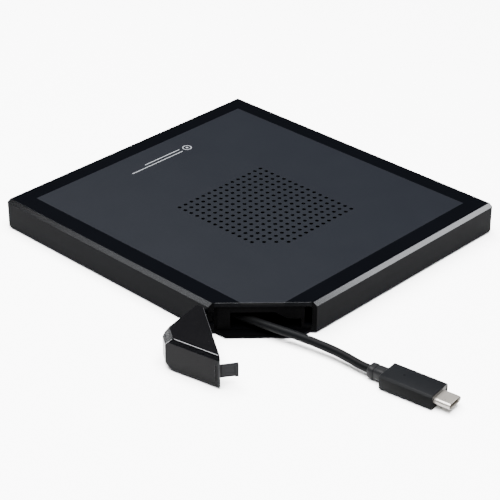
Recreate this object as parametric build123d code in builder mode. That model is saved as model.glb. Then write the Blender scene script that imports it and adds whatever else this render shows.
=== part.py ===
from build123d import *
import os
from math import atan, cos, degrees, radians, sin, sqrt, tan

# External slim optical drive with a hinged corner door over its captive cable.
# Frame: origin under the middle of the case on the surface it stands on, +Z up,
# -Y is the tray side, +X is the side with the cable channel. Millimetres.

# Case
BODY_W = 142.0
BODY_D = 152.7
FOOT_H = 0.8
CASE_H = 13.5
BEVEL_IN = 1.1
BEVEL_DOWN = 1.9
WALL = 1.6
FLOOR_T = 1.5
LID_T = 1.8
PANEL_T = 0.9
BORDER = 9.0
CUT_LEG = 30.0
SEAM = 0.05
HALF_W = BODY_W / 2
HALF_D = BODY_D / 2
BASE_Z = FOOT_H
FLOOR_Z = BASE_Z + FLOOR_T
TOP_Z = BASE_Z + CASE_H
LID_Z = TOP_Z - LID_T
BEVEL_Z = TOP_Z - BEVEL_DOWN
BEVEL_ANGLE = degrees(atan(BEVEL_IN / BEVEL_DOWN))
CUT_SUM = HALF_W + HALF_D - CUT_LEG  # the cut corner is the line x + y = CUT_SUM

# Perforated field of the top panel
HOLE_D = 1.7
HOLE_PITCH = 3.56
HOLE_COLUMNS = 15
HOLE_ROWS = 16
HOLE_MIDDLE_Y = 9.5
HOLES_CLIPPED = 3

# Cable mouth and latch slot in the cut corner, measured along the cut from its +X end
RECESS_DEPTH = 0.5
RECESS_WALL = 1.5
MOUTH_FROM, MOUTH_TO = 8.6, 36.4
MOUTH_STEP_FROM, MOUTH_STEP_TO = 26.0, 31.0
MOUTH_LOW, MOUTH_STEP, MOUTH_HIGH = 2.3, 6.6, 9.6
SLOT_FROM, SLOT_TO = 37.6, 40.6
SLOT_LOW, SLOT_HIGH = 3.7, 11.9
GROOVE_FROM, GROOVE_TO = 2.1, 3.5
SILL_OUT = 3.65
SILL_T = 1.0
SILL_MARGIN = 1.9

# Corner door, drawn closed and then swung open
PIVOT_X, PIVOT_Y = 68.4, 44.5
OPEN_ANGLE = 79.5
DOOR_GAP = 0.35
DOOR_CHAMFER = 4.2
DOOR_FACET_TOP, DOOR_FACET_TOP_Z = 8.35, 11.25
DOOR_FACET_FOOT, DOOR_FACET_FOOT_Z = 6.9, 3.0
DOOR_INSIDE_CHAMFER = 8.8
DOOR_WALL = 1.5
DOOR_FLOOR = 1.2
BARREL_R = 1.85
PIN_R = 0.6
RUNNING = 0.06
BARREL_LOW, BARREL_HIGH = 4.8, 9.8
BARREL_GAP = 0.3

# Slim tray drive inside the case
DRIVE_X = -5.0
DRIVE_W = 128.0
DRIVE_D = 126.1
DRIVE_H = 9.5
DRIVE_FRONT = -72.0
DRIVE_CHAMFER = 13.0
SHEET = 0.5
PAN_Z = FLOOR_Z
COVER_Z = PAN_Z + DRIVE_H - SHEET
DRIVE_BACK = DRIVE_FRONT + DRIVE_D
DRIVE_RIGHT = DRIVE_X + DRIVE_W / 2
DRIVE_LEFT = DRIVE_X - DRIVE_W / 2

# Disc tray
DISC_Y = -10.2
DISC_RECESS_R = 60.4
TRAY_HALF = 61.4
TRAY_DECK_HALF = 63.0
TRAY_BACK = 51.6
TRAY_LOW, TRAY_FLOOR_LOW, TRAY_FLOOR, TRAY_TOP = 3.6, 7.2, 8.2, 10.6
TRAY_SKIN = 1.0
BEZEL_LOW, BEZEL_HIGH = 2.6, 12.1
OPENING_LOW, OPENING_HIGH = 2.4, 12.3

# Mechanism on the tray: its own axis runs from the hub towards the front left
MECH_ANGLE = 225.0
DECK_Z, DECK_T = 4.2, 0.7
ROD_V, ROD_R, ROD_Z = 16.5, 0.9, 5.75
SCREW_V, SCREW_R, SCREW_Z = 19.5, 0.9, 5.2
LENS_U = 24.0
ROTOR_R = 12.2

# Captive cable and plug
CABLE_R = 1.75
CLAMP_Y0, CLAMP_Y1 = 10.0, 18.0
CLAMP_X, CLAMP_Z = 64.6, 6.0
PLUG_TURN = 7.4
PLUG_X, PLUG_Y, PLUG_Z = 48.15, 118.1, 3.15
OVERMOULD = (11.6, 23.0, 6.3)
BOOT_L = 7.5
SHELL = (8.34, 6.65, 2.56)

os.makedirs("parts", exist_ok=True)


def save(part, name):
    """Labels a finished piece and writes it as its own STEP file."""
    part.label = name
    export_step(part, f"parts/{name}.step")


def body_plan(inset, cut_sum=CUT_SUM):
    """The case's outline set in from its four sides, with the corner cut off."""
    x, y = HALF_W - inset, HALF_D - inset
    corners = [(-x, -y), (x, -y), (x, cut_sum - x), (cut_sum - y, y), (-x, y)]
    Polygon(*corners, align=None)


def block(x0, x1, y0, y1, z0, z1, mode=Mode.ADD):
    """A box between two corners, added to or taken from the open part."""
    middle = ((x0 + x1) / 2, (y0 + y1) / 2, (z0 + z1) / 2)
    with Locations(middle):
        Box(x1 - x0, y1 - y0, z1 - z0, mode=mode)


def post(x, y, radius, z0, z1, mode=Mode.ADD):
    """An upright cylinder, added to or taken from the open part."""
    with Locations((x, y, (z0 + z1) / 2)):
        Cylinder(radius, z1 - z0, mode=mode)


def beyond_line(line_sum, z0, z1, mode=Mode.SUBTRACT):
    """Everything on the corner's side of the line x + y = line_sum."""
    reach = 120.0
    with BuildSketch(Plane.XY.offset(z0)) as outside:
        Polygon((line_sum - reach, reach), (reach, line_sum - reach), (reach, reach), align=None)
    extrude(outside.sketch, amount=z1 - z0, mode=mode)


def before_line(line_sum, z0, z1):
    """Takes away everything on the case's side of the line x + y = line_sum."""
    reach = 120.0
    with BuildSketch(Plane.XY.offset(z0)) as inside:
        Polygon((line_sum - reach, reach), (reach, line_sum - reach), (0, 0), align=None)
    extrude(inside.sketch, amount=z1 - z0, mode=Mode.SUBTRACT)


def diagonal_plane(z):
    """Along the cut from its +X end: local x runs along it, local y points into the case."""
    return Plane(origin=(HALF_W, CUT_SUM - HALF_W, z), x_dir=(-1, 1, 0), z_dir=(0, 0, 1))


def mech_plane(z):
    """Local x runs from the hub along the pickup's travel, local y towards the front right."""
    turn = radians(MECH_ANGLE)
    return Plane(origin=(DRIVE_X, DISC_Y, z), x_dir=(cos(turn), sin(turn), 0), z_dir=(0, 0, 1))


def along_mech(u, v, z):
    """A plane that faces along the pickup's travel at one point of the mechanism."""
    origin = mech_plane(z).from_local_coords(Vector(u, v, 0))
    return Plane(origin, x_dir=(0, 0, 1), z_dir=mech_plane(0).x_dir)


def slab(plane, x0, x1, y0, y1, height, mode=Mode.ADD):
    """A box on a turned plane, between two corners of that plane."""
    with BuildSketch(plane) as outline:
        with Locations(((x0 + x1) / 2, (y0 + y1) / 2)):
            Rectangle(x1 - x0, y1 - y0)
    extrude(outline.sketch, amount=height, mode=mode)


# ---------------------------------------------------------------- case shells

BOSSES = [(-66.2, 71.5), (25.0, 72.0), (66.2, -71.5)]
BOSS_R, BOSS_HOLE_R = 3.4, 0.8
POCKET_X, POCKET_Y = 66.2, 42.2
POCKET_WALL = 1.2
LUG_END = 46.8
ARM_SIDE, ARM_WAY = 68.6, 51.5
# Faces out of the cut: local x runs along it from its +X end, local y is up
CUT_FACE = Plane(origin=(HALF_W, CUT_SUM - HALF_W, 0), x_dir=(-1, 1, 0), z_dir=(1, 1, 0))
RECESS_OUT = CUT_SUM - RECESS_DEPTH * sqrt(2)
RECESS_IN = RECESS_OUT - RECESS_WALL * sqrt(2)

with BuildPart() as side_frame:
    with BuildSketch(Plane.XY.offset(BASE_Z)):
        Rectangle(BODY_W, BODY_D)
    extrude(amount=BEVEL_Z - BASE_Z)
    with BuildSketch(Plane.XY.offset(BEVEL_Z)):
        Rectangle(BODY_W, BODY_D)
    extrude(amount=BEVEL_DOWN, taper=BEVEL_ANGLE)
    fillet(side_frame.edges().filter_by(Axis.Z), 0.5)
    beyond_line(CUT_SUM, BASE_Z, TOP_Z)
    with BuildSketch(Plane.XY.offset(BASE_Z)):
        body_plan(WALL, CUT_SUM + 1)
    extrude(amount=CASE_H, mode=Mode.SUBTRACT)
    inner_x, inner_y = HALF_W - WALL, HALF_D - WALL
    with BuildSketch(Plane.XY.offset(FLOOR_Z)):
        band = [
            (inner_x, RECESS_IN - inner_x),
            (inner_x, RECESS_OUT - inner_x),
            (RECESS_OUT - inner_y, inner_y),
            (RECESS_IN - inner_y, inner_y),
        ]
        Polygon(*band, align=None)
    extrude(amount=LID_Z - FLOOR_Z)
    box_x, box_y = POCKET_X - POCKET_WALL, POCKET_Y - POCKET_WALL
    block(box_x, inner_x, box_y, LUG_END, FLOOR_Z, LID_Z)
    pocket_low, pocket_high = BARREL_LOW - BARREL_GAP, BARREL_HIGH + BARREL_GAP
    block(POCKET_X, HALF_W + 1, POCKET_Y, LUG_END, pocket_low, pocket_high, Mode.SUBTRACT)
    block(ARM_SIDE, HALF_W + 1, POCKET_Y, ARM_WAY, pocket_low, pocket_high, Mode.SUBTRACT)
    post(PIVOT_X, PIVOT_Y, PIN_R, FLOOR_Z, LID_Z, Mode.SUBTRACT)
    with BuildSketch(CUT_FACE):
        mouth = [
            (MOUTH_FROM, MOUTH_LOW - 1),
            (MOUTH_TO, MOUTH_LOW - 1),
            (MOUTH_TO, MOUTH_STEP),
            (MOUTH_STEP_TO, MOUTH_STEP),
            (MOUTH_STEP_FROM, MOUTH_HIGH),
            (MOUTH_FROM, MOUTH_HIGH),
        ]
        Polygon(*mouth, align=None)
        slot = [(SLOT_FROM, SLOT_LOW), (SLOT_TO, SLOT_LOW), (SLOT_TO, SLOT_HIGH), (SLOT_FROM, SLOT_HIGH)]
        Polygon(*slot, align=None)
    extrude(amount=4, both=True, mode=Mode.SUBTRACT)
    groove = diagonal_plane(FLOOR_Z)
    slab(groove, GROOVE_FROM, GROOVE_TO, 0, RECESS_DEPTH + 0.8, LID_Z - FLOOR_Z, Mode.SUBTRACT)
    for boss_x, boss_y in BOSSES:
        post(boss_x, boss_y, BOSS_R, FLOOR_Z, LID_Z)
        post(boss_x, boss_y, BOSS_HOLE_R, FLOOR_Z, LID_Z - 3, Mode.SUBTRACT)
    block(DRIVE_LEFT, DRIVE_RIGHT, -HALF_D - 1, -inner_y + 1, OPENING_LOW, OPENING_HIGH, Mode.SUBTRACT)
save(side_frame.part, "side_frame")

RING_W, RING_D, RING_BAND, RING_SINK, RING_CORNER = 116.0, 128.0, 5.0, 0.4, 18.0
SCREW_HEAD_R, SCREW_HEAD_T, SCREW_SHANK_R = 1.9, 0.8, 0.78
RIBS_Y = (-50.0, -14.0)

with BuildPart() as bottom_cover:
    with BuildSketch(Plane.XY.offset(BASE_Z)):
        body_plan(WALL + SEAM)
    extrude(amount=FLOOR_T)
    with BuildSketch(Plane.XY.offset(BASE_Z)):
        RectangleRounded(RING_W, RING_D, RING_CORNER)
        inner = (RING_W - 2 * RING_BAND, RING_D - 2 * RING_BAND)
        RectangleRounded(*inner, RING_CORNER - RING_BAND, mode=Mode.SUBTRACT)
    extrude(amount=RING_SINK, mode=Mode.SUBTRACT)
    for boss_x, boss_y in BOSSES:
        post(boss_x, boss_y, SCREW_SHANK_R + 0.25, BASE_Z, FLOOR_Z, Mode.SUBTRACT)
        post(boss_x, boss_y, SCREW_HEAD_R + 0.15, BASE_Z, BASE_Z + SCREW_HEAD_T, Mode.SUBTRACT)
    with BuildSketch(Plane.XY.offset(BASE_Z)):
        sill_x, sill_y = HALF_W - SILL_MARGIN, HALF_D - SILL_MARGIN
        sill_sum = CUT_SUM + SILL_OUT * sqrt(2)
        sill = [
            (sill_x, CUT_SUM - sill_x - 3),
            (sill_x, sill_sum - sill_x),
            (sill_sum - sill_y, sill_y),
            (CUT_SUM - sill_y - 3, sill_y),
        ]
        Polygon(*sill, align=None)
    extrude(amount=SILL_T)
    for rib_y in RIBS_Y:
        block(60.0, 68.6, rib_y - 1, rib_y + 1, FLOOR_Z, FLOOR_Z + 1)
save(bottom_cover.part, "bottom_cover")

with BuildPart() as foot_ring:
    with BuildSketch():
        RectangleRounded(RING_W, RING_D, RING_CORNER)
        RectangleRounded(*inner, RING_CORNER - RING_BAND, mode=Mode.SUBTRACT)
    extrude(amount=FOOT_H + RING_SINK)
    chamfer(foot_ring.faces().sort_by(Axis.Z)[0].edges(), 0.35)
save(foot_ring.part, "foot_ring")

with BuildPart() as case_screws:
    for boss_x, boss_y in BOSSES:
        post(boss_x, boss_y, SCREW_HEAD_R, BASE_Z, BASE_Z + SCREW_HEAD_T)
        post(boss_x, boss_y, SCREW_SHANK_R, BASE_Z + SCREW_HEAD_T, BASE_Z + 6.5)
        with BuildSketch(Plane.XY.offset(BASE_Z)):
            with Locations((boss_x, boss_y)):
                Rectangle(2.2, 0.5)
                Rectangle(0.5, 2.2)
        extrude(amount=0.45, mode=Mode.SUBTRACT)
save(case_screws.part, "case_screws")

with BuildPart() as top_plate:
    with BuildSketch(Plane.XY.offset(LID_Z)):
        body_plan(WALL + SEAM)
    extrude(amount=LID_T)
    with BuildSketch(Plane.XY.offset(TOP_Z - PANEL_T)):
        body_plan(BORDER, CUT_SUM + 5)
    extrude(amount=PANEL_T, mode=Mode.SUBTRACT)
save(top_plate.part, "top_plate")

with BuildPart() as top_panel:
    with BuildSketch(Plane.XY.offset(TOP_Z - PANEL_T)):
        body_plan(BORDER + SEAM)
    extrude(amount=PANEL_T)
    spots = []
    for i in range(HOLE_COLUMNS):
        for j in range(HOLE_ROWS):
            corner_steps = (HOLE_COLUMNS - 1 - i) + (HOLE_ROWS - 1 - j)
            if corner_steps >= HOLES_CLIPPED:
                spot_x = (i - (HOLE_COLUMNS - 1) / 2) * HOLE_PITCH
                spot_y = HOLE_MIDDLE_Y + (j - (HOLE_ROWS - 1) / 2) * HOLE_PITCH
                spots.append((spot_x, spot_y))
    with BuildSketch(Plane.XY.offset(TOP_Z - PANEL_T)):
        with Locations(*spots):
            Circle(HOLE_D / 2)
    extrude(amount=PANEL_T, mode=Mode.SUBTRACT)
save(top_panel.part, "top_panel")

# ---------------------------------------------------------------- corner door

DOOR_SUM = CUT_SUM + DOOR_GAP * sqrt(2)
CHAMFER_SUM = HALF_W + HALF_D - DOOR_CHAMFER
CORNER_SUM = HALF_W + HALF_D
DOOR_END_Y, DOOR_END_X = 50.5, 41.9
TAB_FACE, TAB_T, TAB_END = 40.0, 1.0, 6.9
TAB_LOW, TAB_HIGH = 4.1, 9.5
HOOK_LONG, HOOK_T = 1.3, 0.35
# Seen along the cut: local x is (x + y) / sqrt(2), local y is up
ACROSS_CUT = Plane(origin=(0, 0, 0), x_dir=(1, 1, 0), z_dir=(1, -1, 0))


def door_plan(inset, slant):
    """The door's outer corner cut off at x + y = slant, running on past the cut line."""
    x, y = HALF_W - inset, HALF_D - inset
    Polygon((x, 20), (x, slant - x), (slant - y, y), (20, y), (20, 20), align=None)


def across_cut(corners):
    """A polygon seen along the cut, from pairs of x + y and height."""
    Polygon(*[(line_sum / sqrt(2), height) for line_sum, height in corners], align=None)


with BuildPart() as closed_door:
    with BuildSketch(Plane.XY.offset(BASE_Z)):
        door_plan(0, CHAMFER_SUM)
    extrude(amount=BEVEL_Z - BASE_Z)
    with BuildSketch(Plane.XY.offset(BEVEL_Z)):
        door_plan(0, CHAMFER_SUM)
    extrude(amount=BEVEL_DOWN, taper=BEVEL_ANGLE)
    with BuildSketch(ACROSS_CUT):
        top_facet = [
            (CHAMFER_SUM, DOOR_FACET_TOP_Z),
            (CORNER_SUM - DOOR_FACET_TOP, TOP_Z),
            (CORNER_SUM - DOOR_FACET_TOP, TOP_Z + 1),
            (CORNER_SUM + 5, TOP_Z + 1),
            (CORNER_SUM + 5, DOOR_FACET_TOP_Z),
        ]
        across_cut(top_facet)
        foot_facet = [
            (CHAMFER_SUM, DOOR_FACET_FOOT_Z),
            (CORNER_SUM + 5, DOOR_FACET_FOOT_Z),
            (CORNER_SUM + 5, BASE_Z - 1),
            (CORNER_SUM - DOOR_FACET_FOOT, BASE_Z - 1),
            (CORNER_SUM - DOOR_FACET_FOOT, BASE_Z),
        ]
        across_cut(foot_facet)
    extrude(amount=30, both=True, mode=Mode.SUBTRACT)
    before_line(DOOR_SUM, BASE_Z, TOP_Z)
    block(0, HALF_W + 1, 0, DOOR_END_Y, BASE_Z, TOP_Z, Mode.SUBTRACT)
    block(0, DOOR_END_X, 0, HALF_D + 1, BASE_Z, TOP_Z, Mode.SUBTRACT)
    with BuildSketch(Plane.XY.offset(BASE_Z + DOOR_FLOOR)):
        door_plan(DOOR_WALL, CORNER_SUM - DOOR_INSIDE_CHAMFER)
    extrude(amount=CASE_H - DOOR_FLOOR - DOOR_WALL, mode=Mode.SUBTRACT)
    with BuildSketch(Plane.XY.offset(BASE_Z)):
        under_x, under_y = HALF_W - DOOR_WALL, HALF_D - DOOR_WALL
        under_sum = CUT_SUM + (SILL_OUT + 0.4) * sqrt(2)
        under = [
            (under_x, 20),
            (under_x, under_sum - under_x),
            (under_sum - under_y, under_y),
            (20, under_y),
            (20, 20),
        ]
        Polygon(*under, align=None)
    extrude(amount=DOOR_FLOOR, mode=Mode.SUBTRACT)
    arm_x0, arm_x1 = PIVOT_X + 0.6, PIVOT_X + BARREL_R
    block(arm_x0, arm_x1, PIVOT_Y, DOOR_END_Y + 2, BARREL_LOW, BARREL_HIGH)
    post(PIVOT_X, PIVOT_Y, BARREL_R, BARREL_LOW, BARREL_HIGH)
    post(PIVOT_X, PIVOT_Y, PIN_R + RUNNING, BARREL_LOW, BARREL_HIGH, Mode.SUBTRACT)
    tab_back = TAB_FACE - TAB_T
    root = diagonal_plane(TAB_LOW - 0.8)
    slab(root, tab_back, TAB_FACE + 0.8, -2.2, -DOOR_GAP, TAB_HIGH - TAB_LOW + 1.6)
    tab = diagonal_plane(TAB_LOW)
    slab(tab, tab_back, TAB_FACE, -1.5, TAB_END, TAB_HIGH - TAB_LOW)
    hook = diagonal_plane(TAB_LOW - 0.1)
    slab(hook, tab_back, TAB_FACE + HOOK_T, TAB_END - HOOK_LONG, TAB_END, TAB_HIGH - TAB_LOW + 0.2)
hinge_axis = Axis((PIVOT_X, PIVOT_Y, 0), (0, 0, 1))
save(closed_door.part.rotate(hinge_axis, -OPEN_ANGLE), "corner_door")

with BuildPart() as hinge_pin:
    post(PIVOT_X, PIVOT_Y, PIN_R, FLOOR_Z, LID_Z)
save(hinge_pin.part, "hinge_pin")

# ---------------------------------------------------------------- drive shells and rails


def drive_plan(inset):
    """The drive's outline with its rear right corner cut to clear the cable."""
    x0, x1 = DRIVE_LEFT + inset, DRIVE_RIGHT - inset
    y0, y1 = DRIVE_FRONT, DRIVE_BACK - inset
    slant = DRIVE_RIGHT + DRIVE_BACK - DRIVE_CHAMFER - inset * sqrt(2)
    Polygon((x0, y0), (x1, y0), (x1, slant - x1), (slant - y1, y1), (x0, y1), align=None)


with BuildPart() as drive_pan:
    with BuildSketch(Plane.XY.offset(PAN_Z)):
        drive_plan(0)
    extrude(amount=COVER_Z - PAN_Z)
    with BuildSketch(Plane.XY.offset(PAN_Z + SHEET)):
        drive_plan(SHEET)
    extrude(amount=COVER_Z - PAN_Z, mode=Mode.SUBTRACT)
    block(DRIVE_X - 12, DRIVE_X + 12, DRIVE_BACK - 1, DRIVE_BACK + 1, 4.2, 8.4, Mode.SUBTRACT)
save(drive_pan.part, "drive_pan")

with BuildPart() as drive_cover:
    with BuildSketch(Plane.XY.offset(COVER_Z)):
        drive_plan(0)
    extrude(amount=SHEET)
    with BuildSketch(Plane.XY.offset(COVER_Z + SHEET)):
        with Locations((DRIVE_X, DISC_Y)):
            Circle(30)
            Circle(28, mode=Mode.SUBTRACT)
    extrude(amount=-0.2, mode=Mode.SUBTRACT)
save(drive_cover.part, "drive_cover")

RAIL_FRONT, RAIL_BACK = -66.0, 38.0
SLIDER_BACK = 34.0


def rail(side, front, back, web, flange, z0, z1, thick):
    """A C-section strip lying along Y that opens towards the middle of the drive."""
    outer = DRIVE_X + side * web
    face = DRIVE_X + side * (web - thick)
    tip = DRIVE_X + side * flange
    block(min(outer, face), max(outer, face), front, back, z0, z1)
    for low in (z0, z1 - thick):
        block(min(outer, tip), max(outer, tip), front, back, low, low + thick)


for side, hand in ((-1, "left"), (1, "right")):
    with BuildPart() as fixed_rail:
        rail(side, RAIL_FRONT, RAIL_BACK, DRIVE_W / 2 - SHEET, 62.3, 4.6, 9.4, 0.35)
    save(fixed_rail.part, f"rail_{hand}")
    with BuildPart() as slider:
        rail(side, RAIL_FRONT, SLIDER_BACK, 63.05, 61.95, 5.05, 8.95, 0.3)
    save(slider.part, f"slider_{hand}")

# ---------------------------------------------------------------- tray

MECH_SLOT_U, MECH_SLOT_V = 61.8, 14.2
HUB_OPENING_R = 16.5

with BuildPart() as tray:
    tray_x0, tray_x1 = DRIVE_X - TRAY_HALF, DRIVE_X + TRAY_HALF
    tray_front = DRIVE_FRONT - 0.05
    block(tray_x0, tray_x1, tray_front, TRAY_BACK, TRAY_LOW, TRAY_TOP)
    deck_x0, deck_x1 = DRIVE_X - TRAY_DECK_HALF, DRIVE_X + TRAY_DECK_HALF
    block(deck_x0, deck_x1, tray_front, TRAY_BACK, 9.7, TRAY_TOP)
    under_x0, under_x1 = tray_x0 + TRAY_SKIN, tray_x1 - TRAY_SKIN
    under_y0, under_y1 = tray_front + 1.4, TRAY_BACK - TRAY_SKIN
    block(under_x0, under_x1, under_y0, under_y1, TRAY_LOW, TRAY_FLOOR_LOW, Mode.SUBTRACT)
    block(tray_x0, tray_x1, 38, TRAY_BACK, TRAY_LOW, 6.0, Mode.SUBTRACT)
    post(DRIVE_X, DISC_Y, DISC_RECESS_R, TRAY_FLOOR, TRAY_TOP, Mode.SUBTRACT)
    post(DRIVE_X, DISC_Y, 41.0, TRAY_FLOOR - 0.4, TRAY_FLOOR, Mode.SUBTRACT)
    post(DRIVE_X, DISC_Y, HUB_OPENING_R, TRAY_LOW, TRAY_TOP, Mode.SUBTRACT)
    slab(mech_plane(TRAY_LOW), 0, MECH_SLOT_U, -MECH_SLOT_V, MECH_SLOT_V, 8, Mode.SUBTRACT)
    beyond_line(DRIVE_RIGHT + DRIVE_BACK - DRIVE_CHAMFER - 1.6, TRAY_LOW, TRAY_TOP)
    tongue_low, tongue_high = 5.7, 8.3
    for side in (-1, 1):
        tip = DRIVE_X + side * 62.5
        root = DRIVE_X + side * (TRAY_HALF - 0.5)
        block(min(tip, root), max(tip, root), -70.0, 40.0, tongue_low, tongue_high)
    finger_depth = 6.0
    for side in (-1, 1):
        post(DRIVE_X + side * 30, -62.0, finger_depth, TRAY_FLOOR, TRAY_TOP, Mode.SUBTRACT)
save(tray.part, "tray")

BUTTON_X, LED_X, PINHOLE_X = 34.0, 22.0, 14.0
CONTROL_Z = 6.6
BUTTON_W, BUTTON_H = 11.0, 3.2
BEZEL_FRONT, BEZEL_BACK = -HALF_D, DRIVE_FRONT - 0.05
FRONT_PLANE = Plane(origin=(0, BEZEL_FRONT, 0), x_dir=(1, 0, 0), z_dir=(0, -1, 0))

with BuildPart() as tray_bezel:
    bezel_x0, bezel_x1 = DRIVE_LEFT + 0.3, DRIVE_RIGHT - 0.3
    block(bezel_x0, bezel_x1, BEZEL_FRONT, BEZEL_BACK, BEZEL_LOW, BEZEL_HIGH)
    fillet(tray_bezel.faces().sort_by(Axis.Y)[0].edges(), 0.35)
    with BuildSketch(FRONT_PLANE.offset(1)):
        with Locations((BUTTON_X, CONTROL_Z)):
            RectangleRounded(BUTTON_W + 0.4, BUTTON_H + 0.4, 1.0)
        with Locations((LED_X, CONTROL_Z)):
            Circle(0.8)
        with Locations((PINHOLE_X, CONTROL_Z)):
            Circle(0.55)
    extrude(amount=-8, mode=Mode.SUBTRACT)
save(tray_bezel.part, "tray_bezel")

BUTTON_PROUD = 0.25
with BuildPart() as eject_button:
    with BuildSketch(FRONT_PLANE.offset(BUTTON_PROUD)):
        with Locations((BUTTON_X, CONTROL_Z)):
            RectangleRounded(BUTTON_W, BUTTON_H, 0.8)
    extrude(amount=-3.6)
    fillet(eject_button.faces().sort_by(Axis.Y)[0].edges(), 0.25)
save(eject_button.part, "eject_button")

with BuildPart() as led_light_pipe:
    with BuildSketch(FRONT_PLANE):
        with Locations((LED_X, CONTROL_Z)):
            Circle(0.8)
    extrude(amount=-(BEZEL_BACK - BEZEL_FRONT))
save(led_light_pipe.part, "led_light_pipe")

# ---------------------------------------------------------------- mechanism on the tray

MOTOR_U0, MOTOR_U1 = -9.0, 3.0
STATOR_R = 10.3

with BuildPart() as mech_deck:
    with BuildSketch(mech_plane(DECK_Z)):
        outline = [(-20, -22), (62, -22), (70, -14), (70, 14), (59.5, 24.5), (-20, 24.5)]
        Polygon(*outline, align=None)
        window = [(13, -18), (63.5, -18), (63.5, 18), (57, 18), (57, 21.3), (13, 21.3)]
        Polygon(*window, align=None, mode=Mode.SUBTRACT)
        Circle(STATOR_R + 0.05, mode=Mode.SUBTRACT)
        with Locations(((MOTOR_U0 + MOTOR_U1) / 2, SCREW_V)):
            Rectangle(MOTOR_U1 - MOTOR_U0 + 0.1, 6.6, mode=Mode.SUBTRACT)
    extrude(amount=DECK_T)
    block_z = mech_plane(DECK_Z + DECK_T)
    for rod_v in (-ROD_V, ROD_V):
        slab(block_z, 9, 11.8, rod_v - 1.3, rod_v + 1.3, 2.0)
        slab(block_z, 63.6, 65.4, rod_v - 1.3, rod_v + 1.3, 2.0)
    slab(block_z, MOTOR_U1 + 0.1, MOTOR_U1 + 1.2, SCREW_V - 1.6, SCREW_V + 2.6, 2.0)
    slab(block_z, 57.2, 58.6, SCREW_V - 1.3, SCREW_V + 1.3, 2.0)
    for rod_v in (-ROD_V, ROD_V):
        with BuildSketch(along_mech(0, rod_v, ROD_Z)):
            Circle(ROD_R)
        extrude(amount=66, mode=Mode.SUBTRACT)
    with BuildSketch(along_mech(0, SCREW_V, SCREW_Z)):
        Circle(SCREW_R + RUNNING)
    extrude(amount=60, mode=Mode.SUBTRACT)
save(mech_deck.part, "mech_deck")


with BuildPart() as guide_rods:
    for rod_v in (-ROD_V, ROD_V):
        with BuildSketch(along_mech(9.2, rod_v, ROD_Z)):
            Circle(ROD_R)
        extrude(amount=56)
save(guide_rods.part, "guide_rods")

with BuildPart() as lead_screw:
    with BuildSketch(along_mech(MOTOR_U1 + 0.1, SCREW_V, SCREW_Z)):
        Circle(SCREW_R)
    extrude(amount=58.4 - MOTOR_U1 - 0.1)
save(lead_screw.part, "lead_screw")

with BuildPart() as sled_motor:
    with BuildSketch(along_mech(MOTOR_U0, SCREW_V, SCREW_Z)):
        RectangleRounded(3.4, 6.4, 1.2)
    extrude(amount=MOTOR_U1 - MOTOR_U0)
save(sled_motor.part, "sled_motor")

DAMPERS = [(-17.0, -19.0), (-17.0, 21.5), (66.5, 0.0)]
with BuildPart() as damper_bushes:
    for damper_u, damper_v in DAMPERS:
        with BuildSketch(mech_plane(DECK_Z + DECK_T)):
            with Locations((damper_u, damper_v)):
                Circle(2.3)
                Circle(0.9, mode=Mode.SUBTRACT)
        extrude(amount=TRAY_FLOOR_LOW - DECK_Z - DECK_T)
save(damper_bushes.part, "damper_bushes")

with BuildPart() as spindle_stator:
    post(DRIVE_X, DISC_Y, STATOR_R, 3.5, 4.9)
    post(DRIVE_X, DISC_Y, 4.2, 4.9, 7.1)
    for k in range(9):
        turn = radians(40 * k)
        arm = Plane(origin=(DRIVE_X, DISC_Y, 5.3), x_dir=(cos(turn), sin(turn), 0), z_dir=(0, 0, 1))
        slab(arm, 3.5, 10.4, -1.0, 1.0, 1.4)
        slab(arm, 9.6, 10.6, -2.2, 2.2, 1.4)
    post(DRIVE_X, DISC_Y, 1.0 + RUNNING, 4.0, 7.1, Mode.SUBTRACT)
save(spindle_stator.part, "spindle_stator")

HUB_R, CLAW_R = 7.3, 7.55
with BuildPart() as spindle_rotor:
    post(DRIVE_X, DISC_Y, ROTOR_R, 5.2, 8.6)
    post(DRIVE_X, DISC_Y, ROTOR_R - 0.8, 5.2, 7.6, Mode.SUBTRACT)
    with BuildSketch(Plane.XY.offset(8.6)):
        with Locations((DRIVE_X, DISC_Y)):
            Circle(HUB_R)
    extrude(amount=2.0, taper=12)
    post(DRIVE_X, DISC_Y, 1.0, 7.0, 10.6, Mode.SUBTRACT)
    for k in range(3):
        turn = radians(120 * k)
        claw = Plane(origin=(DRIVE_X, DISC_Y, 8.6), x_dir=(cos(turn), sin(turn), 0), z_dir=(0, 0, 1))
        slab(claw, 3.6, 9.0, -1.3, 1.3, 1.5, Mode.SUBTRACT)
save(spindle_rotor.part, "spindle_rotor")

with BuildPart() as spindle_shaft:
    post(DRIVE_X, DISC_Y, 1.0, 4.1, 10.5)
save(spindle_shaft.part, "spindle_shaft")

with BuildPart() as hub_claws:
    for k in range(3):
        turn = radians(120 * k)
        claw = Plane(origin=(DRIVE_X, DISC_Y, 8.6), x_dir=(cos(turn), sin(turn), 0), z_dir=(0, 0, 1))
        slab(claw, 3.6, CLAW_R, -1.2, 1.2, 1.4)
save(hub_claws.part, "hub_claws")

with BuildPart() as turntable_pad:
    post(DRIVE_X, DISC_Y, 12.0, 8.6, 9.0)
    post(DRIVE_X, DISC_Y, 9.4, 8.6, 9.0, Mode.SUBTRACT)
save(turntable_pad.part, "turntable_pad")

# ---------------------------------------------------------------- pickup

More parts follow.
